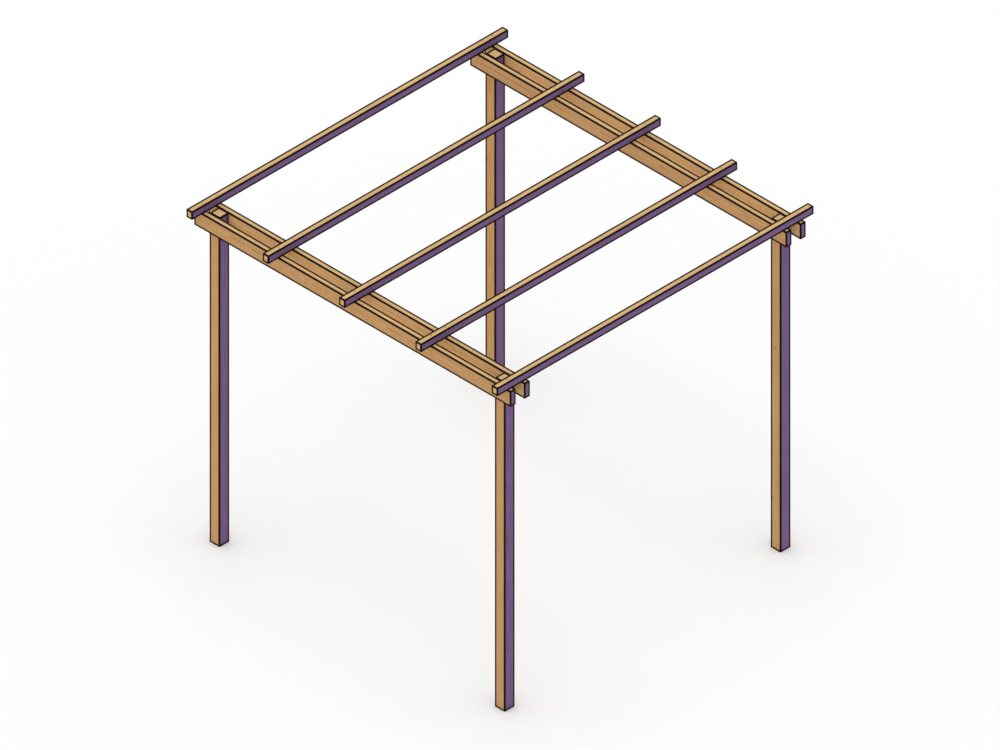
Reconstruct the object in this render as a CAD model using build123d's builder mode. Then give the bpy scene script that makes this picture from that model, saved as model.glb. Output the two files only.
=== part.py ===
from build123d import *
import os

# Free-standing wooden pergola: four square posts, two pairs of beams that clasp the post heads,
# and a row of rafters laid across the beams. Millimetres, +Z up. The origin is on the ground at
# the middle of the plan, X runs along the beams, Y along the rafters, and the front is at -Y.

# Posts of planed square timber, housed at the head on the two sides that the beams clasp
post_width = 95
post_height = 2705
post_spacing_x = 2710  # centre to centre, along the beams
post_spacing_y = 2620  # centre to centre, along the rafters
post_arris_radius = 3
housing_depth = 5  # leaves a shoulder on each side of the head, on which a beam rests

# Beams in pairs, one plank on each side of the posts, their tops flush with the post tops
beam_thickness = 50
beam_depth = 125
beam_overhang = 100  # past the outer faces of the end posts
beam_arris_radius = 2

# Rafters, evenly spaced along the beams and lying flat on them
rafter_width = 55
rafter_depth = 65
rafter_overhang = 100  # past the outer faces of the outer beams
rafter_end_margin = 25  # from a beam's end to the nearest face of the outermost rafter
rafter_count = 5
rafter_arris_radius = 2

# The sawn ends are eased by a chamfer, as a share of the timber's own arris radius
end_chamfer_share = 0.6

# Lengths and places that follow from the sizes above
head_width = post_width - 2 * housing_depth  # of a post's head, between its two beams
beam_length = post_spacing_x + post_width + 2 * beam_overhang
beam_side_offset = (head_width + beam_thickness) / 2  # post centre to beam centre
beam_mid_height = post_height - beam_depth / 2
rafter_length = post_spacing_y + head_width + 2 * (beam_thickness + rafter_overhang)
rafter_mid_height = post_height + rafter_depth / 2
rafter_run = beam_length - rafter_width - 2 * rafter_end_margin  # first to last centre line
rafter_spacing = rafter_run / (rafter_count - 1)

os.makedirs("parts", exist_ok=True)


def write(timber, name):
    """Label a finished timber and write it as its own file."""
    timber.part.label = name
    export_step(timber.part, f"parts/{name}.step")


# Each post stands on the ground, its head level with the tops of the beams. The housings are cut
# to the full depth of the beams.
for depth_name, post_y in (("front", -post_spacing_y / 2), ("rear", post_spacing_y / 2)):
    for side_name, post_x in (("left", -post_spacing_x / 2), ("right", post_spacing_x / 2)):
        with BuildPart() as post:
            with BuildSketch(Plane.XY):
                with Locations((post_x, post_y)):
                    RectangleRounded(post_width, post_width, post_arris_radius)
            extrude(amount=post_height)
            chamfer(
                post.faces().filter_by(Axis.Z).edges(),
                length=post_arris_radius * end_chamfer_share,
            )
            with BuildSketch(Plane.XY.offset(post_height)):
                with Locations((post_x, post_y)):
                    with GridLocations(0, post_width - housing_depth, 1, 2):
                        Rectangle(post_width, housing_depth)
            extrude(amount=-beam_depth, mode=Mode.SUBTRACT)
        write(post, f"post_{depth_name}_{side_name}")

# Each pair of beams clasps the post heads of one side, front or rear
for depth_name, outward in (("front", -1), ("rear", 1)):
    for face_name, from_post in (("outer", outward), ("inner", -outward)):
        beam_y = outward * post_spacing_y / 2 + from_post * beam_side_offset
        with BuildPart() as beam:
            with BuildSketch(Plane.YZ):
                with Locations((beam_y, beam_mid_height)):
                    RectangleRounded(beam_thickness, beam_depth, beam_arris_radius)
            extrude(amount=beam_length / 2, both=True)
            chamfer(
                beam.faces().filter_by(Axis.X).edges(),
                length=beam_arris_radius * end_chamfer_share,
            )
        write(beam, f"beam_{depth_name}_{face_name}")

# Rafters cross both pairs of beams, counted from the left
for number in range(rafter_count):
    rafter_x = number * rafter_spacing - rafter_run / 2
    with BuildPart() as rafter:
        with BuildSketch(Plane.XZ):
            with Locations((rafter_x, rafter_mid_height)):
                RectangleRounded(rafter_width, rafter_depth, rafter_arris_radius)
        extrude(amount=rafter_length / 2, both=True)
        chamfer(
            rafter.faces().filter_by(Axis.Y).edges(),
            length=rafter_arris_radius * end_chamfer_share,
        )
    write(rafter, f"rafter_{number + 1}")
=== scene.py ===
import math

import bpy
import numpy as np
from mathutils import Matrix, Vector


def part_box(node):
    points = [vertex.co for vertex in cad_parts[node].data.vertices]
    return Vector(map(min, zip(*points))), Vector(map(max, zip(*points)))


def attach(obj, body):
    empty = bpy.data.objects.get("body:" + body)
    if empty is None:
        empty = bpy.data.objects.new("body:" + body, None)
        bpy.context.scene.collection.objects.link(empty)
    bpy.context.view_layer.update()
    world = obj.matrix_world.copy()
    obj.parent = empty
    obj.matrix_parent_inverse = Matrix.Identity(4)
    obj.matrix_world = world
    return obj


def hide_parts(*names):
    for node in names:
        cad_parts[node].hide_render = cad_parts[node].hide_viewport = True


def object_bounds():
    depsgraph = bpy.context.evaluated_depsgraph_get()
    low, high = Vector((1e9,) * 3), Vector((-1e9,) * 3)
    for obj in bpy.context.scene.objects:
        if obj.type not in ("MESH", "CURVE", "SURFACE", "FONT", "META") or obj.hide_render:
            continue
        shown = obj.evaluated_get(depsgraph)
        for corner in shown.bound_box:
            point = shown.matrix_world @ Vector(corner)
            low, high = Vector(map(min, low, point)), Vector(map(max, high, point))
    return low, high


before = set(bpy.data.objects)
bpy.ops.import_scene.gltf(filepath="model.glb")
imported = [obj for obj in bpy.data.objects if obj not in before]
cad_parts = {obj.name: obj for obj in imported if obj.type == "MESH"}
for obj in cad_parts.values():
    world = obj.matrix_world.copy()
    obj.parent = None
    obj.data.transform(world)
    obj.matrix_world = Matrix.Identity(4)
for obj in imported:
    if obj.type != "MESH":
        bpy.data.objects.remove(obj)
cad_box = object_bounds()

# Posts
# Square softwood sawn clear of the heart, planed on four sides and oiled. They stand on their sawn feet,
# and their heads are housed for the beams. The faces to the left and right are violet, a painted shade of
# the side turned from the light, the tops are painted paler as painted light, and every arris is eased and
# stained nearly black.
POST_NODES = [f"post_{depth}_{side}" for depth in ("front", "rear") for side in ("left", "right")]
POST_ARRIS = 0.003
POST_SPACINGS = (0.015, 0.060)  # of the mesh, across and along the grain
POST_HEART_REACH = (0.075, 0.115)  # from the middle of the post to the heart of its log
POST_HEART_TURN = (0, 2 * math.pi)
SHOULDER_STEP = 0.0001  # half the height within which a housing's shoulder is drawn in

LOG_STARTS = (0, 40)  # between which a timber's own length of grain begins
RING_CROWDING = (0.8, 1.2)  # a slow-grown log has closer rings
draws = np.random.default_rng(29)

PLACE_DIGITS = 6  # to which mesh places are rounded, so that faces meet along their edges
ARRIS_TURNS = np.radians([45, 30, 15, 0])  # of the mesh lines on a rounded arris, about its centre
BAND_PLACES = np.array([0.004, 0.008, 0.012, 0.018, 0.026])  # of the mesh lines beside an arris
BAND_CLEARANCE = 0.003  # that those lines keep from the middle of a slender timber
TIMBER_CREASE = math.radians(35)  # edges that turn by more are shaded sharp

OILED, VIOLET_PAINTED_SHADE, PALE_PAINTED_LIGHT, SLOT_PAINTED_LIGHT = range(4)  # a timber's finishes, in the order of its material slots: oiled, violet painted shade, pale painted light, and paler painted light for the slots between beams
BRUSHED_SIDES = ((0, 1), (1, -1), (2, 1))  # as axis and sign, the sides that the dark stain was brushed on
FAR_BAND_SHARE = 1.50  # of the plain band, on those sides, along the arrises they share with the others


def lattice(half, arris, spacing, extra=()):
    """Places along one axis of a timber, from -half to half.
    The rounded arris takes places whose angle about its centre grows evenly to 45 degrees, so
    each is the arris radius times the tangent of its angle. A few close places follow for the
    stained band beside the arris, and the rest lie about one spacing apart, with any extra ones."""
    flat = half - arris
    band = BAND_PLACES[BAND_PLACES < flat - BAND_CLEARANCE]
    inner = flat - band[-1]
    middle = np.linspace(-inner, inner, max(2, round(2 * inner / spacing)) + 1)
    outer = np.concatenate([flat + arris * np.tan(ARRIS_TURNS), flat - band[:-1]])
    return np.unique(np.concatenate([-outer, middle, outer, extra]).round(PLACE_DIGITS))


def face_finish(axis, sign, grain):
    """Left and right faces take violet painted shade, tops pale painted light with the sawn ends in the
    same pale colour, and the rest is oiled.
    """
    if axis == 0:
        # the left and right faces take the violet painted shade
        return VIOLET_PAINTED_SHADE
    # tops take a pale painted light, and the sawn ends take the same pale colour
    return PALE_PAINTED_LIGHT if axis == grain or (axis, sign) == (2, 1) else OILED


def band_share(face, neighbour):
    """The width of a face's stained band beside a neighbour, as a share of the plain width."""
    return FAR_BAND_SHARE if face in BRUSHED_SIDES and neighbour not in BRUSHED_SIDES else 1.0


def timber_mesh(
    name, low, high, grain, arris, spacings, heart, extra=((), (), ()), bare=(), reshape=None
):
    """A rounded box: six grids, one for each face, as functions of two places along its edges.
    A point is drawn back to the box shrunk by the arris radius, then set out from it by that radius
    along the line between the two, which rounds each arris and corner and leaves the faces flat.
    The attribute log holds each point's place in its log, with the heart as the third axis, and
    arris holds its distance from the nearest arris divided by the band's share there, both in metres."""
    low, high = np.array(low), np.array(high)
    half = ((high - low) / 2).round(PLACE_DIGITS)
    middle = (high + low) / 2
    places = [lattice(half[axis], arris, spacings[axis == grain], extra[axis]) for axis in range(3)]
    points, quads, reach, finish, start = [], [], [], [], 0
    for axis in range(3):
        first, second = (axis + 1) % 3, (axis + 2) % 3
        across, along = np.meshgrid(places[first], places[second], indexing="ij")
        rows, columns = across.shape
        corner = (np.arange(rows - 1)[:, None] * columns + np.arange(columns - 1)).ravel()
        ring = np.stack([corner, corner + columns, corner + columns + 1, corner + 1], axis=1)
        for sign in (-1, 1):
            grid = np.empty((rows, columns, 3))
            grid[..., axis] = sign * half[axis]
            grid[..., first] = across
            grid[..., second] = along
            points.append(grid.reshape(-1, 3))
            quads.append(start + (ring if sign > 0 else ring[:, ::-1]))
            gaps = [
                (half[other] - side * place) / band_share((axis, sign), (other, side))
                for other, place in ((first, across), (second, along)) for side in (-1, 1)
            ]
            reach.append(np.min(gaps, axis=0).ravel())
            # faces listed as lying in the slot between a pair of beams take a paler colour, painted light
            # against the shade there
            look = SLOT_PAINTED_LIGHT if (axis, sign) in bare else face_finish(axis, sign, grain)
            finish.append(np.full(len(ring), look, np.int32))
            start += rows * columns
    points, quads = np.concatenate(points).round(PLACE_DIGITS), np.concatenate(quads)
    box, keep, back = np.unique(points, axis=0, return_index=True, return_inverse=True)
    core = np.clip(box, arris - half, half - arris)
    out = box - core
    shape = core + arris * out / np.linalg.norm(out, axis=1, keepdims=True)
    if reshape:
        shape = reshape(shape, box, half)

    mesh = bpy.data.meshes.new(name)
    mesh.from_pydata(shape + middle, [], back.reshape(-1)[quads])
    mesh.polygons.foreach_set("use_smooth", np.ones(len(quads), bool))
    mesh.polygons.foreach_set("material_index", np.concatenate(finish))
    crowding = draws.uniform(*RING_CROWDING)
    log = np.roll(shape, 2 - grain, axis=1) * (crowding, crowding, 1) + np.array(heart)
    mesh.attributes.new("log", "FLOAT_VECTOR", "POINT").data.foreach_set(
        "vector", log.astype(np.float32).ravel()
    )
    mesh.attributes.new("arris", "FLOAT", "POINT").data.foreach_set(
        "value", np.concatenate(reach)[keep].astype(np.float32)
    )
    mesh.set_sharp_from_angle(angle=TIMBER_CREASE)
    mesh.update()
    return mesh


def node(tree, kind, inputs=(), **settings):
    """A shader node with its settings, and its inputs given as values or as outputs of other nodes."""
    made = tree.nodes.new(kind)
    for key, value in settings.items():
        setattr(made, key, value)
    for key, value in dict(inputs).items():
        if isinstance(value, bpy.types.NodeSocket):
            tree.links.new(value, made.inputs[key])
        else:
            made.inputs[key].default_value = value
    return made


def maths(tree, operation, *values):
    """One sum of a Math node, as its output."""
    return node(tree, "ShaderNodeMath", enumerate(values), operation=operation).outputs[0]


def ease_between(tree, value, low, high):
    """0 below low, 1 above high and a smooth step between them."""
    limits = {"Value": value, "From Min": low, "From Max": high}
    return node(tree, "ShaderNodeMapRange", limits, interpolation_type="SMOOTHSTEP").outputs["Result"]


def ease_off(tree, value, low, high):
    """1 below low, 0 above high and a smooth step between them."""
    return maths(tree, "SUBTRACT", 1.0, ease_between(tree, value, low, high))


def blend_colours(tree, factor, first, second, how="MIX"):
    """Two colours mixed by a factor. A Mix node takes colours on its sockets 6 and 7, and gives one
    on output 2."""
    sockets = {0: factor, 6: first, 7: second}
    return node(tree, "ShaderNodeMix", sockets, data_type="RGBA", blend_type=how).outputs[2]


def drawn_noise(tree, place, length_share, scale, detail):
    """Noise that is drawn out along a log, because only a share of the log's length counts."""
    drawn = node(tree, "ShaderNodeVectorMath", {0: place, 1: (1, 1, length_share)}, operation="MULTIPLY")
    settings = {"Vector": drawn.outputs[0], "Scale": scale, "Detail": detail}
    return node(tree, "ShaderNodeTexNoise", settings).outputs["Fac"]


def group(name, inputs, outputs):
    """An empty shader group with named sockets, as (group, the inputs' outputs, the outputs' inputs)."""
    made = bpy.data.node_groups.new(name, "ShaderNodeTree")
    for socket, kind in inputs.items():
        made.interface.new_socket(socket, in_out="INPUT", socket_type=kind)
    for socket, kind in outputs.items():
        made.interface.new_socket(socket, in_out="OUTPUT", socket_type=kind)
    return made, made.nodes.new("NodeGroupInput").outputs, made.nodes.new("NodeGroupOutput").inputs


KNOT_CELLS = 7.5  # to a metre of bark, with one knot at most in each
KNOT_SCATTER = 0.9
KNOT_CHANCE = 0.16
KNOT_RADIUS = (0.004, 0.003)  # a span and a start, as are the strengths, shades and roughness below
KNOT_BLUR = 0.25  # of a knot's edge, as a share of its radius
BARK_RADIUS = 0.11  # on which the knots are laid out
SWELL_REACH = 0.024  # of the grain round a knot
SWELL_HEIGHT = 0.010
SLOW_WAVER = 0.030
SLOW_NOISE = (0.16, 6.0, 1.5)  # the length's share, the scale and the detail, here and below
QUICK_WAVER = 0.0022
QUICK_NOISE = (0.30, 30.0, 1.0)
RING_STRENGTH = (0.55, 0.45)
LATEWOOD_RISE = (0.25, 0.92)  # places through a ring
LATEWOOD_FALL = (0.93, 1.0)
FIBRE_NOISE = (0.014, 900.0, 3.0)
DRIFT_NOISE = (0.22, 9.0, 2.0)


def softwood_group():
    """Growth rings as distance from the heart divided by the ring width. The distance wavers slowly
    along the log and swells round each small knot, so faces show flame and straight grain and the
    ends show arcs. Latewood rises slowly through a ring and stops short at its edge."""
    masks = ("Latewood", "Fibre", "Knot", "Drift")
    made, given, result = group(
        "softwood_grain",
        {"Log": "NodeSocketVector", "Ring Width": "NodeSocketFloat"},
        {mask: "NodeSocketFloat" for mask in masks},
    )
    place = node(made, "ShaderNodeSeparateXYZ", {0: given["Log"]}).outputs

    around = maths(made, "MULTIPLY", maths(made, "ARCTAN2", place["Y"], place["X"]), BARK_RADIUS)
    bark = node(made, "ShaderNodeCombineXYZ", {"X": around, "Y": place["Z"]}).outputs[0]
    cells = {"Vector": bark, "Scale": KNOT_CELLS, "Randomness": KNOT_SCATTER}
    cell = node(made, "ShaderNodeTexVoronoi", cells, voronoi_dimensions="2D").outputs
    chance = node(made, "ShaderNodeSeparateColor", {0: cell["Color"]}).outputs
    grown = maths(made, "LESS_THAN", chance["Red"], KNOT_CHANCE)
    off = maths(made, "DIVIDE", cell["Distance"], KNOT_CELLS)
    size = maths(made, "MULTIPLY_ADD", chance["Green"], *KNOT_RADIUS)
    edge = maths(made, "SUBTRACT", maths(made, "DIVIDE", off, size), 1.0)
    knot = maths(made, "MULTIPLY", grown, ease_off(made, edge, -KNOT_BLUR, KNOT_BLUR))
    spread = maths(made, "DIVIDE", off, SWELL_REACH)
    fading = maths(made, "MULTIPLY", maths(made, "MULTIPLY", spread, spread), -1.0)
    swell = maths(made, "MULTIPLY", maths(made, "EXPONENT", fading), grown)
    swell = maths(made, "MULTIPLY", swell, SWELL_HEIGHT)

    flat = node(made, "ShaderNodeCombineXYZ", {"X": place["X"], "Y": place["Y"]}).outputs[0]
    radius = node(made, "ShaderNodeVectorMath", {0: flat}, operation="LENGTH").outputs["Value"]
    slow = drawn_noise(made, given["Log"], *SLOW_NOISE)
    quick = drawn_noise(made, given["Log"], *QUICK_NOISE)
    waver = maths(made, "MULTIPLY_ADD", slow, SLOW_WAVER, radius)
    waver = maths(made, "MULTIPLY_ADD", quick, QUICK_WAVER, waver)
    rings = maths(made, "DIVIDE", maths(made, "ADD", waver, swell), given["Ring Width"])
    through = maths(made, "FRACT", rings)
    number = maths(made, "FLOOR", rings)
    year = node(made, "ShaderNodeTexWhiteNoise", {"W": number}, noise_dimensions="1D").outputs["Value"]
    strength = maths(made, "MULTIPLY_ADD", year, *RING_STRENGTH)
    rise = ease_between(made, through, *LATEWOOD_RISE)
    fall = ease_off(made, through, *LATEWOOD_FALL)
    late = maths(made, "MULTIPLY", maths(made, "MULTIPLY", rise, fall), strength)

    fibre = drawn_noise(made, given["Log"], *FIBRE_NOISE)
    drift = drawn_noise(made, given["Log"], *DRIFT_NOISE)
    for mask, value in zip(masks, (late, fibre, knot, drift)):
        made.links.new(value, result[mask])
    return made


RAGGED_NOISE = (0.10, 260.0, 3.0)
RAGGED_NOISE_MEAN = 0.5
RAGGED_DEPTH = 0.0032
LATEWOOD_HOLDS_BACK = 0.0010
STAIN_EDGE = (0.88, 1.08)  # places across the band
BLEED_EDGE = (1.00, 1.25)
DRYING_NOISE = (0.05, 120.0, 2.0)
DRYING_LIMITS = (0.35, 0.75)  # of the noise, from dark to thin


def arris_group():
    """A stained band along every arris. The distance from the arris is made uneven by noise that is
    drawn out along the grain, and by latewood, which takes up less. Stain is full up to the band's
    width and then stops, Bleed fades out beyond it, and Depth varies how dark the stain has dried."""
    made, given, result = group(
        "arris_stain",
        {"Arris": "NodeSocketFloat", "Log": "NodeSocketVector",
         "Latewood": "NodeSocketFloat", "Width": "NodeSocketFloat"},
        {"Stain": "NodeSocketFloat", "Bleed": "NodeSocketFloat", "Depth": "NodeSocketFloat"},
    )
    uneven = maths(made, "SUBTRACT", drawn_noise(made, given["Log"], *RAGGED_NOISE), RAGGED_NOISE_MEAN)
    ragged = maths(made, "MULTIPLY_ADD", uneven, RAGGED_DEPTH, given["Arris"])
    ragged = maths(made, "MULTIPLY_ADD", given["Latewood"], LATEWOOD_HOLDS_BACK, ragged)
    reach = maths(made, "DIVIDE", ragged, given["Width"])
    drying = drawn_noise(made, given["Log"], *DRYING_NOISE)
    made.links.new(ease_off(made, reach, *STAIN_EDGE), result["Stain"])
    made.links.new(ease_off(made, reach, *BLEED_EDGE), result["Bleed"])
    made.links.new(ease_between(made, drying, *DRYING_LIMITS), result["Depth"])
    return made


SOFTWOOD = softwood_group()
RING_WIDTH = 0.0046
KNOT_COLOUR = (0.20, 0.085, 0.035, 1)
ARRIS_STAIN = arris_group()
ARRIS_BAND = 0.0100
ARRIS_DARK = (0.003, 0.002, 0.002, 1)
ARRIS_THIN = (0.012, 0.006, 0.005, 1)
ARRIS_BLEED = (0.42, 0.30, 0.28, 1)  # what the bleeding stain leaves of the wood's colour
FIBRE_SHADE = (0.34, 0.83)
DRIFT_SHADE = (0.30, 0.85)
FIBRE_ROUGHNESS = (0.22, 0.50)
LATEWOOD_ROUGHNESS = -0.08  # added to that of the fibre
LATEWOOD_RELIEF = 0.5
WOOD_SPECULAR = 0.05  # dull, as the finishes have sunk in
WOOD_BUMP = {"Strength": 0.5, "Distance": 0.0004}


def timber_material(name, earlywood, latewood, knots):
    """Oiled softwood, or softwood in violet painted shade, pale painted light or paler painted light in the
    slots: two colours laid by the grain, varied by fibre and slow drift, with small knots, which show as
    far as the finish lets them, and the dark arris."""
    made = bpy.data.materials.new(name)
    made.use_nodes = True
    tree = made.node_tree
    shader = tree.nodes["Principled BSDF"].inputs
    log = node(tree, "ShaderNodeAttribute", attribute_name="log").outputs["Vector"]
    distance = node(tree, "ShaderNodeAttribute", attribute_name="arris").outputs["Fac"]
    log_and_rings = {"Log": log, "Ring Width": RING_WIDTH}
    grain = node(tree, "ShaderNodeGroup", log_and_rings, node_tree=SOFTWOOD).outputs
    band = {"Arris": distance, "Log": log, "Latewood": grain["Latewood"], "Width": ARRIS_BAND}
    edge = node(tree, "ShaderNodeGroup", band, node_tree=ARRIS_STAIN).outputs

    wood = blend_colours(tree, grain["Latewood"], (*earlywood, 1), (*latewood, 1))
    fibre = maths(tree, "MULTIPLY_ADD", grain["Fibre"], *FIBRE_SHADE)
    drift = maths(tree, "MULTIPLY_ADD", grain["Drift"], *DRIFT_SHADE)
    shade = maths(tree, "MULTIPLY", fibre, drift)
    grey = node(tree, "ShaderNodeCombineColor", {"Red": shade, "Green": shade, "Blue": shade})
    wood = blend_colours(tree, 1.0, wood, grey.outputs[0], "MULTIPLY")
    wood = blend_colours(tree, maths(tree, "MULTIPLY", grain["Knot"], knots), wood, KNOT_COLOUR)
    wood = blend_colours(tree, edge["Bleed"], wood, ARRIS_BLEED, "MULTIPLY")
    dark = blend_colours(tree, edge["Depth"], ARRIS_DARK, ARRIS_THIN)
    tree.links.new(blend_colours(tree, edge["Stain"], wood, dark), shader["Base Color"])

    rough = maths(tree, "MULTIPLY_ADD", grain["Fibre"], *FIBRE_ROUGHNESS)
    rough = maths(tree, "MULTIPLY_ADD", grain["Latewood"], LATEWOOD_ROUGHNESS, rough)
    tree.links.new(rough, shader["Roughness"])
    shader["Specular IOR Level"].default_value = WOOD_SPECULAR
    relief = maths(tree, "MULTIPLY_ADD", grain["Latewood"], LATEWOOD_RELIEF, grain["Fibre"])
    bump = node(tree, "ShaderNodeBump", {"Height": relief, **WOOD_BUMP})
    tree.links.new(bump.outputs[0], shader["Normal"])
    return made


timber_finishes = (
    timber_material(
        "oiled_softwood", earlywood=(0.612, 0.354, 0.146), latewood=(0.402, 0.200, 0.074), knots=0.75
    ),
    # violet painted shade, for the faces to the left and right
    timber_material(
        "violet_painted_shade", earlywood=(0.186, 0.110, 0.242), latewood=(0.138, 0.082, 0.179), knots=0.35
    ),
    # pale painted light, for the tops, and the same pale colour for the sawn ends
    timber_material(
        "pale_painted_light_softwood", earlywood=(0.718, 0.480, 0.216), latewood=(0.497, 0.301, 0.122), knots=0.65
    ),
    # paler painted light, for the beam faces in the shaded slot between the planks
    timber_material(
        "bare_softwood", earlywood=(0.862, 0.585, 0.283), latewood=(0.628, 0.390, 0.170), knots=0.65
    ),
)


def lay_timber(name, slot, grain, heart_reach, heart_turn, **form):
    """A timber in the place of its CAD node, cut from its own stretch of a log. Grain is the axis that
    it runs along."""
    reach = draws.uniform(*heart_reach)
    turn = draws.uniform(*heart_turn)
    heart = (reach * math.cos(turn), reach * math.sin(turn), draws.uniform(*LOG_STARTS))
    mesh = timber_mesh(f"planed_{name}", *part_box(name), grain, heart=heart, **form)
    piece = bpy.data.objects.new(f"planed_{name}", mesh)
    bpy.context.scene.collection.objects.link(piece)
    for finish in timber_finishes:
        mesh.materials.append(finish)
    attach(piece, "root")
    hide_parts(name)


def middle_of(name, axis):
    """The middle of a CAD node along one axis."""
    low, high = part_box(name)
    return (low[axis] + high[axis]) / 2


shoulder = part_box("beam_front_outer")[0][2] - middle_of("post_front_left", 2)
head_half = (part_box("beam_front_inner")[0][1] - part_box("beam_front_outer")[1][1]) / 2


def house_head(shape, box, half):
    """Above the shoulders, places across the beams are drawn in to the width that lies between them."""
    shape[box[:, 2] > shoulder, 1] *= head_half / half[1]
    return shape


shoulder_places = ((), (), (shoulder - SHOULDER_STEP, shoulder + SHOULDER_STEP))
for name in POST_NODES:
    lay_timber(
        name, "post_timber", grain=2, heart_reach=POST_HEART_REACH, heart_turn=POST_HEART_TURN,
        arris=POST_ARRIS, spacings=POST_SPACINGS, extra=shoulder_places, reshape=house_head,
    )

# Beams
# Softwood planks in pairs, one on each side of the posts, planed, oiled and screwed through the post heads.
# They are flat sawn, so their wide faces show flame grain. Their tops are painted paler as painted light,
# their sawn ends are violet painted shade, and the faces turned to the posts, in the shade between the
# planks, are painted paler still as painted light.
BEAM_NODES = [f"beam_{depth}_{face}" for depth in ("front", "rear") for face in ("outer", "inner")]
BEAM_POST_SIDES = (1, -1, -1, 1)  # the way each beam's post lies, along Y
BEAM_ARRIS = 0.002
BEAM_SPACINGS = (0.015, 0.060)
BEAM_HEART_REACH = (0.050, 0.085)
BEAM_HEART_TURN = (-0.35, 0.35)

# Each beam's face turned to its post is painted paler, as painted light against the shade between the
# planks.
for name, post_side in zip(BEAM_NODES, BEAM_POST_SIDES):
    lay_timber(
        name, "beam_timber", grain=0, heart_reach=BEAM_HEART_REACH, heart_turn=BEAM_HEART_TURN,
        arris=BEAM_ARRIS, spacings=BEAM_SPACINGS, bare=((1, post_side),),
    )

# Rafters
# Slender softwood bars, planed, oiled underneath and lying flat on the beams. Their sides are violet
# painted shade, their tops are painted paler as painted light, and their square-sawn ends take the same
# pale colour. A screw is sunk into their tops over every beam.
RAFTER_COUNT = 5
RAFTER_NODES = [f"rafter_{number + 1}" for number in range(RAFTER_COUNT)]
RAFTER_ARRIS = 0.002
RAFTER_SPACINGS = (0.015, 0.060)
RAFTER_HEART_REACH = (0.045, 0.090)
RAFTER_HEART_TURN = (0, 2 * math.pi)
TOP_SLACK = 1e-6  # within which a place counts as on the top face
SINK_DEPTH = 0.0030
SINK_FLOOR = 0.0057
SINK_RIM = 0.0063
SINK_SPREAD = 0.0110  # where the ground round a sunk screw is flat and square again
SINK_RINGS = np.array([0.0025, 0.0050, SINK_FLOOR, SINK_RIM, 0.0080, SINK_SPREAD])

crossings = np.array([middle_of(name, 1) for name in BEAM_NODES])


def sink_screws(shape, box, half):
    """Round holes for the screw heads in a top face. The squares of the grid round a screw's place are
    drawn in to circles of the same half width, less and less out to the spread, and what lies within
    the floor's radius goes down by the depth, with a steep wall up to the rim."""
    on_top = box[:, 2] > half[2] - TOP_SLACK
    for place in crossings:
        off = box[:, :2] - (0, place)
        square = abs(off).max(axis=1)
        near = on_top & (square < SINK_SPREAD) & (square > 0)
        circle = square[near] / np.linalg.norm(off[near], axis=1)
        loose = np.clip((square[near] - SINK_RIM) / (SINK_SPREAD - SINK_RIM), 0, 1)
        shape[near, :2] = (0, place) + off[near] * (circle + (1 - circle) * loose)[:, None]
        wall = np.clip((square - SINK_FLOOR) / (SINK_RIM - SINK_FLOOR), 0, 1)
        shape[:, 2] -= SINK_DEPTH * (1 - wall) * on_top
    return shape


sink_rings = np.concatenate([-SINK_RINGS, [0], SINK_RINGS])
sunk_places = (sink_rings, (crossings[:, None] + sink_rings).ravel(), ())
for name in RAFTER_NODES:
    lay_timber(
        name, "rafter_timber", grain=1, heart_reach=RAFTER_HEART_REACH, heart_turn=RAFTER_HEART_TURN,
        arris=RAFTER_ARRIS, spacings=RAFTER_SPACINGS, extra=sunk_places, reshape=sink_screws,
    )

# Coach screws
# Galvanised hexagon-head screws on washers, two to a post. They are driven from behind through the
# nearer plank and the post head into the further plank, so no head shows at the front.
COACH_NODES = ("beam_front_inner", "beam_rear_outer")
COACH_OFFSETS = ((-0.018, -0.026), (0.018, 0.026))  # from the middle of the joint, across and up
COACH_STEPS = 48  # round a screw
WASHER_RADIUS = 0.0150
WASHER_HEIGHT = 0.0025
WASHER_FACE_SHARE = 0.96  # of its radius, inside the rounded rim
WASHER_RIM_SHARE = 0.75  # of its height, below the rounded rim
HEXAGON_SIDE = np.pi / 3  # the angle that one side takes up
HEXAGON_FLAT = 0.0085  # from the middle to a flat
HEXAGON_HEIGHT = 0.0075
HEXAGON_FACE_SHARE = 0.96  # of the flat's distance, inside the turned chamfer
HEXAGON_CHAMFER = math.radians(30)
DISH_SHARE = 0.60  # of the flat's distance, within which the top is dished
DISH_DEPTH_SHARE = 0.04  # of the head's height
SEAT_DEPTH = 0.0004  # pulled into the wood
STEEL_CREASE = math.radians(25)  # edges that turn by more are shaded sharp
PATCH_SCALE = 420.0  # of the coat's crystals, to a metre
SPECK_SCALE = 1400.0
SPECK_DETAIL = 3.0
SPECK_MEAN = 0.5
SPECK_SHARE = 0.6  # of the specks in the mottle
STEEL_BUMP = {"Strength": 0.3, "Distance": 0.0001}
WASHER_STEEL, HEAD_STEEL = range(2)  # the screws' material slots


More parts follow.
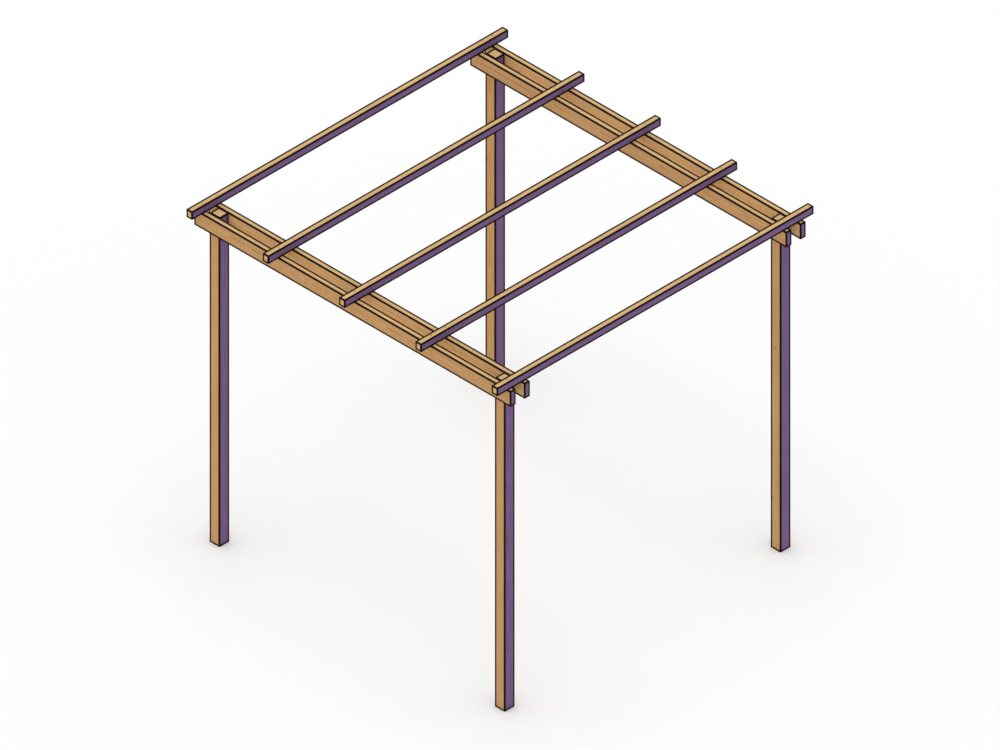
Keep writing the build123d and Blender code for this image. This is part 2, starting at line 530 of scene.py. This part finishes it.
def turned_piece(name, rings, places, turns, up):
    """Copies of a shape of rings. A ring has a radius and a height for each of the even angles round
    its axis, or one for all, and the slot of the material below it. Quads join each ring to the next,
    and one face closes the first ring and one the last. Each copy is turned about its axis by its own
    angle, has its axis laid along up, and is set in its place."""
    columns = max(np.size(radius) for radius, height, slot in rings)
    radii, heights = (np.array([np.broadcast_to(ring[i], columns) for ring in rings]) for i in (0, 1))
    slots = np.array([slot for radius, height, slot in rings], np.int32)
    angles = 2 * np.pi * np.arange(columns) / columns + np.asarray(turns)[:, None, None]
    across = np.stack([radii * np.cos(angles), radii * np.sin(angles)], axis=-1)
    along = np.broadcast_to(heights[..., None], across[..., :1].shape)
    turned = np.array(Vector(up).to_track_quat("Z", "Y").to_matrix())
    points = np.concatenate([across, along], axis=-1) @ turned.T + np.asarray(places)[:, None, None, :]

    around = np.arange(columns)
    row_starts = columns * np.arange(len(rings) - 1)[:, None]
    low, low_next = row_starts + around, row_starts + (around + 1) % columns
    walls = np.stack([low, low_next, low_next + columns, low + columns], axis=-1).reshape(-1, 4)
    caps = np.stack([around[::-1], row_starts[-1] + columns + around])
    starts = radii.size * np.arange(len(places))[:, None, None]
    faces = (walls + starts).reshape(-1, 4).tolist() + (caps + starts).reshape(-1, columns).tolist()
    finish = [np.tile(np.repeat(slots[1:], columns), len(places)), np.tile(slots[[0, -1]], len(places))]

    mesh = bpy.data.meshes.new(name)
    mesh.from_pydata(points.reshape(-1, 3), [], faces)
    mesh.polygons.foreach_set("use_smooth", np.ones(len(faces), bool))
    mesh.polygons.foreach_set("material_index", np.concatenate(finish))
    mesh.set_sharp_from_angle(angle=STEEL_CREASE)
    mesh.update()
    piece = bpy.data.objects.new(name, mesh)
    bpy.context.scene.collection.objects.link(piece)
    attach(piece, "root")
    return piece


def steel_material(name, dull, bright, metal, smooth, rough):
    """Steel with a mottled coat: two tones laid in small patches, and roughness that follows them."""
    made = bpy.data.materials.new(name)
    made.use_nodes = True
    tree = made.node_tree
    shader = tree.nodes["Principled BSDF"].inputs
    place = node(tree, "ShaderNodeTexCoord").outputs["Object"]
    crystals = {"Vector": place, "Scale": PATCH_SCALE}
    patches = node(tree, "ShaderNodeTexVoronoi", crystals, feature="SMOOTH_F1").outputs["Color"]
    tone = node(tree, "ShaderNodeSeparateColor", {0: patches}).outputs["Red"]
    grit = {"Vector": place, "Scale": SPECK_SCALE, "Detail": SPECK_DETAIL}
    specks = node(tree, "ShaderNodeTexNoise", grit).outputs["Fac"]
    mottle = maths(tree, "MULTIPLY_ADD", maths(tree, "SUBTRACT", specks, SPECK_MEAN), SPECK_SHARE, tone)
    tree.links.new(blend_colours(tree, mottle, (*dull, 1), (*bright, 1)), shader["Base Color"])
    tree.links.new(maths(tree, "MULTIPLY_ADD", mottle, smooth - rough, rough), shader["Roughness"])
    shader["Metallic"].default_value = metal
    bump = node(tree, "ShaderNodeBump", {"Height": specks, **STEEL_BUMP})
    tree.links.new(bump.outputs[0], shader["Normal"])
    return made


coach_angles = 2 * np.pi * np.arange(COACH_STEPS) / COACH_STEPS
from_flat = (coach_angles + HEXAGON_SIDE / 2) % HEXAGON_SIDE - HEXAGON_SIDE / 2
hexagon = HEXAGON_FLAT / np.cos(from_flat)
hexagon_face = HEXAGON_FACE_SHARE * HEXAGON_FLAT
coach_top = WASHER_HEIGHT + HEXAGON_HEIGHT
coach_rings = (
    (WASHER_FACE_SHARE * WASHER_RADIUS, -SEAT_DEPTH, WASHER_STEEL),
    (WASHER_RADIUS, 0, WASHER_STEEL),
    (WASHER_RADIUS, WASHER_RIM_SHARE * WASHER_HEIGHT, WASHER_STEEL),
    (WASHER_FACE_SHARE * WASHER_RADIUS, WASHER_HEIGHT, WASHER_STEEL),
    (hexagon, WASHER_HEIGHT, WASHER_STEEL),
    (hexagon, coach_top - (hexagon - hexagon_face) * math.tan(HEXAGON_CHAMFER), HEAD_STEEL),
    (hexagon_face, coach_top, HEAD_STEEL),
    (DISH_SHARE * HEXAGON_FLAT, coach_top - DISH_DEPTH_SHARE * HEXAGON_HEIGHT, HEAD_STEEL),
)
coach_places = [
    (middle_of(post, 0) + across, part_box(beam)[1][1], middle_of(beam, 2) + up)
    for beam in COACH_NODES
    for post in POST_NODES if post.split("_")[1] == beam.split("_")[1]
    for across, up in COACH_OFFSETS
]
coach_turns = draws.uniform(0, HEXAGON_SIDE, len(coach_places))
coach_screws = turned_piece("coach_screws", coach_rings, coach_places, coach_turns, up=(0, 1, 0))
coach_screws.data.materials.append(steel_material(
    "galvanised_washer", dull=(0.20, 0.21, 0.22), bright=(0.40, 0.41, 0.42),
    metal=0.80, smooth=0.45, rough=0.68,
))
coach_screws.data.materials.append(steel_material(
    "galvanised_head", dull=(0.38, 0.39, 0.40), bright=(0.62, 0.63, 0.64),
    metal=0.85, smooth=0.32, rough=0.55,
))

# Rafter screws
# Coated timber screws with flat heads and a six-lobed recess, one through every rafter into every beam.
# Their heads are driven just below the surface.
HEAD_RADIUS = 0.0055
HEAD_DROP = 0.0007  # of the head's face below the wood
HEAD_SKIRT_SHARE = 0.75  # of its radius, at the bottom of its cone
HEAD_FACE_SHARE = 0.94  # of its radius, inside the rounded rim
HEAD_RIM = 0.0003
LOBES = 6
LOBE_STEPS = 48  # round the recess
LOBE_RADIUS = 0.0026
LOBE_SWELL_SHARE = 0.17
LOBE_MOUTH_SHARE = 1.08  # of the recess, at its rounded mouth
LOBE_FLOOR_SHARE = 0.90
LOBE_MOUTH = 0.0002
RECESS_DEPTH = 0.0019

lobe_angles = 2 * np.pi * np.arange(LOBE_STEPS) / LOBE_STEPS
lobe = LOBE_RADIUS * (1 + LOBE_SWELL_SHARE * np.cos(LOBES * lobe_angles))
head_rings = (
    (HEAD_SKIRT_SHARE * HEAD_RADIUS, -SINK_DEPTH, 0),
    (HEAD_RADIUS, -HEAD_DROP - 2 * HEAD_RIM, 0),
    (HEAD_RADIUS, -HEAD_DROP - HEAD_RIM, 0),
    (HEAD_FACE_SHARE * HEAD_RADIUS, -HEAD_DROP, 0),
    (LOBE_MOUTH_SHARE * lobe, -HEAD_DROP, 0),
    (lobe, -HEAD_DROP - LOBE_MOUTH, 0),
    (LOBE_FLOOR_SHARE * lobe, -HEAD_DROP - RECESS_DEPTH, 0),
)
head_places = [
    (middle_of(rafter, 0), place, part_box(rafter)[1][2]) for rafter in RAFTER_NODES for place in crossings
]
head_turns = draws.uniform(0, 2 * np.pi / LOBES, len(head_places))
rafter_screws = turned_piece("rafter_screws", head_rings, head_places, head_turns, up=(0, 0, 1))
rafter_screws.data.materials.append(steel_material(
    "tan_coated_steel", dull=(0.30, 0.19, 0.075), bright=(0.48, 0.33, 0.15),
    metal=0.35, smooth=0.40, rough=0.62,
))

# Floor, light and camera
# A wide pale floor under a soft overhead sun and an even sky, seen in isometric projection. The sky looks
# white to the camera and in reflections, and lights the timber a little less.
FLOOR_REACH = 60.0
FLOOR_COLOUR = (0.97, 0.97, 0.97, 1)
FLOOR_ROUGHNESS = 0.9
FLOOR_SPECULAR = 0.0
SKY_COLOUR = (1, 1, 1, 1)
SKY_LIGHT = 0.80
SUN_LIGHT = 0.75
SUN_SPREAD = math.radians(35)
SUN_FROM = Vector((0.03, -0.08, 1.0))
AIM_HEIGHT = 1.3925
VIEW_TURN = math.radians(45)
VIEW_RISE = math.atan(math.sqrt(0.5))  # the isometric elevation
VIEW_WIDTH = 6.716
CAMERA_DISTANCE = 12.0

floor_mesh = bpy.data.meshes.new("floor")
floor_level = cad_box[0].z
corners = np.array([(-1, -1), (1, -1), (1, 1), (-1, 1)]) * FLOOR_REACH
floor_mesh.from_pydata([(x, y, floor_level) for x, y in corners], [], [(0, 1, 2, 3)])
floor = bpy.data.objects.new("floor", floor_mesh)
bpy.context.scene.collection.objects.link(floor)
floor_paint = bpy.data.materials.new("pale_floor")
floor_paint.use_nodes = True
floor_shader = floor_paint.node_tree.nodes["Principled BSDF"].inputs
floor_shader["Base Color"].default_value = FLOOR_COLOUR
floor_shader["Roughness"].default_value = FLOOR_ROUGHNESS
floor_shader["Specular IOR Level"].default_value = FLOOR_SPECULAR
floor_mesh.materials.append(floor_paint)

world = bpy.data.worlds.new("even_sky")
bpy.context.scene.world = world
world.use_nodes = True
sky = world.node_tree.nodes["Background"].inputs
sky["Color"].default_value = SKY_COLOUR
rays = node(world.node_tree, "ShaderNodeLightPath").outputs
seen = maths(world.node_tree, "MAXIMUM", rays["Is Camera Ray"], rays["Is Glossy Ray"])
seen = maths(world.node_tree, "MAXIMUM", seen, rays["Is Transmission Ray"])
strength = maths(world.node_tree, "MULTIPLY_ADD", seen, 1.0 - SKY_LIGHT, SKY_LIGHT)
world.node_tree.links.new(strength, sky["Strength"])

sun = bpy.data.objects.new("soft_sun", bpy.data.lights.new("soft_sun", "SUN"))
sun.data.energy = SUN_LIGHT
sun.data.angle = SUN_SPREAD
sun.rotation_euler = SUN_FROM.to_track_quat("Z", "Y").to_euler()
bpy.context.scene.collection.objects.link(sun)

camera = bpy.data.objects.new("isometric_camera", bpy.data.cameras.new("isometric_camera"))
camera.data.type = "ORTHO"
camera.data.ortho_scale = VIEW_WIDTH
towards_viewer = Vector((
    math.sin(VIEW_TURN) * math.cos(VIEW_RISE),
    -math.cos(VIEW_TURN) * math.cos(VIEW_RISE),
    math.sin(VIEW_RISE),
))
camera.location = Vector((0, 0, AIM_HEIGHT)) + CAMERA_DISTANCE * towards_viewer
camera.rotation_euler = towards_viewer.to_track_quat("Z", "Y").to_euler()
bpy.context.scene.collection.objects.link(camera)
bpy.context.scene.camera = camera
bpy.context.scene.view_settings.view_transform = "Standard"
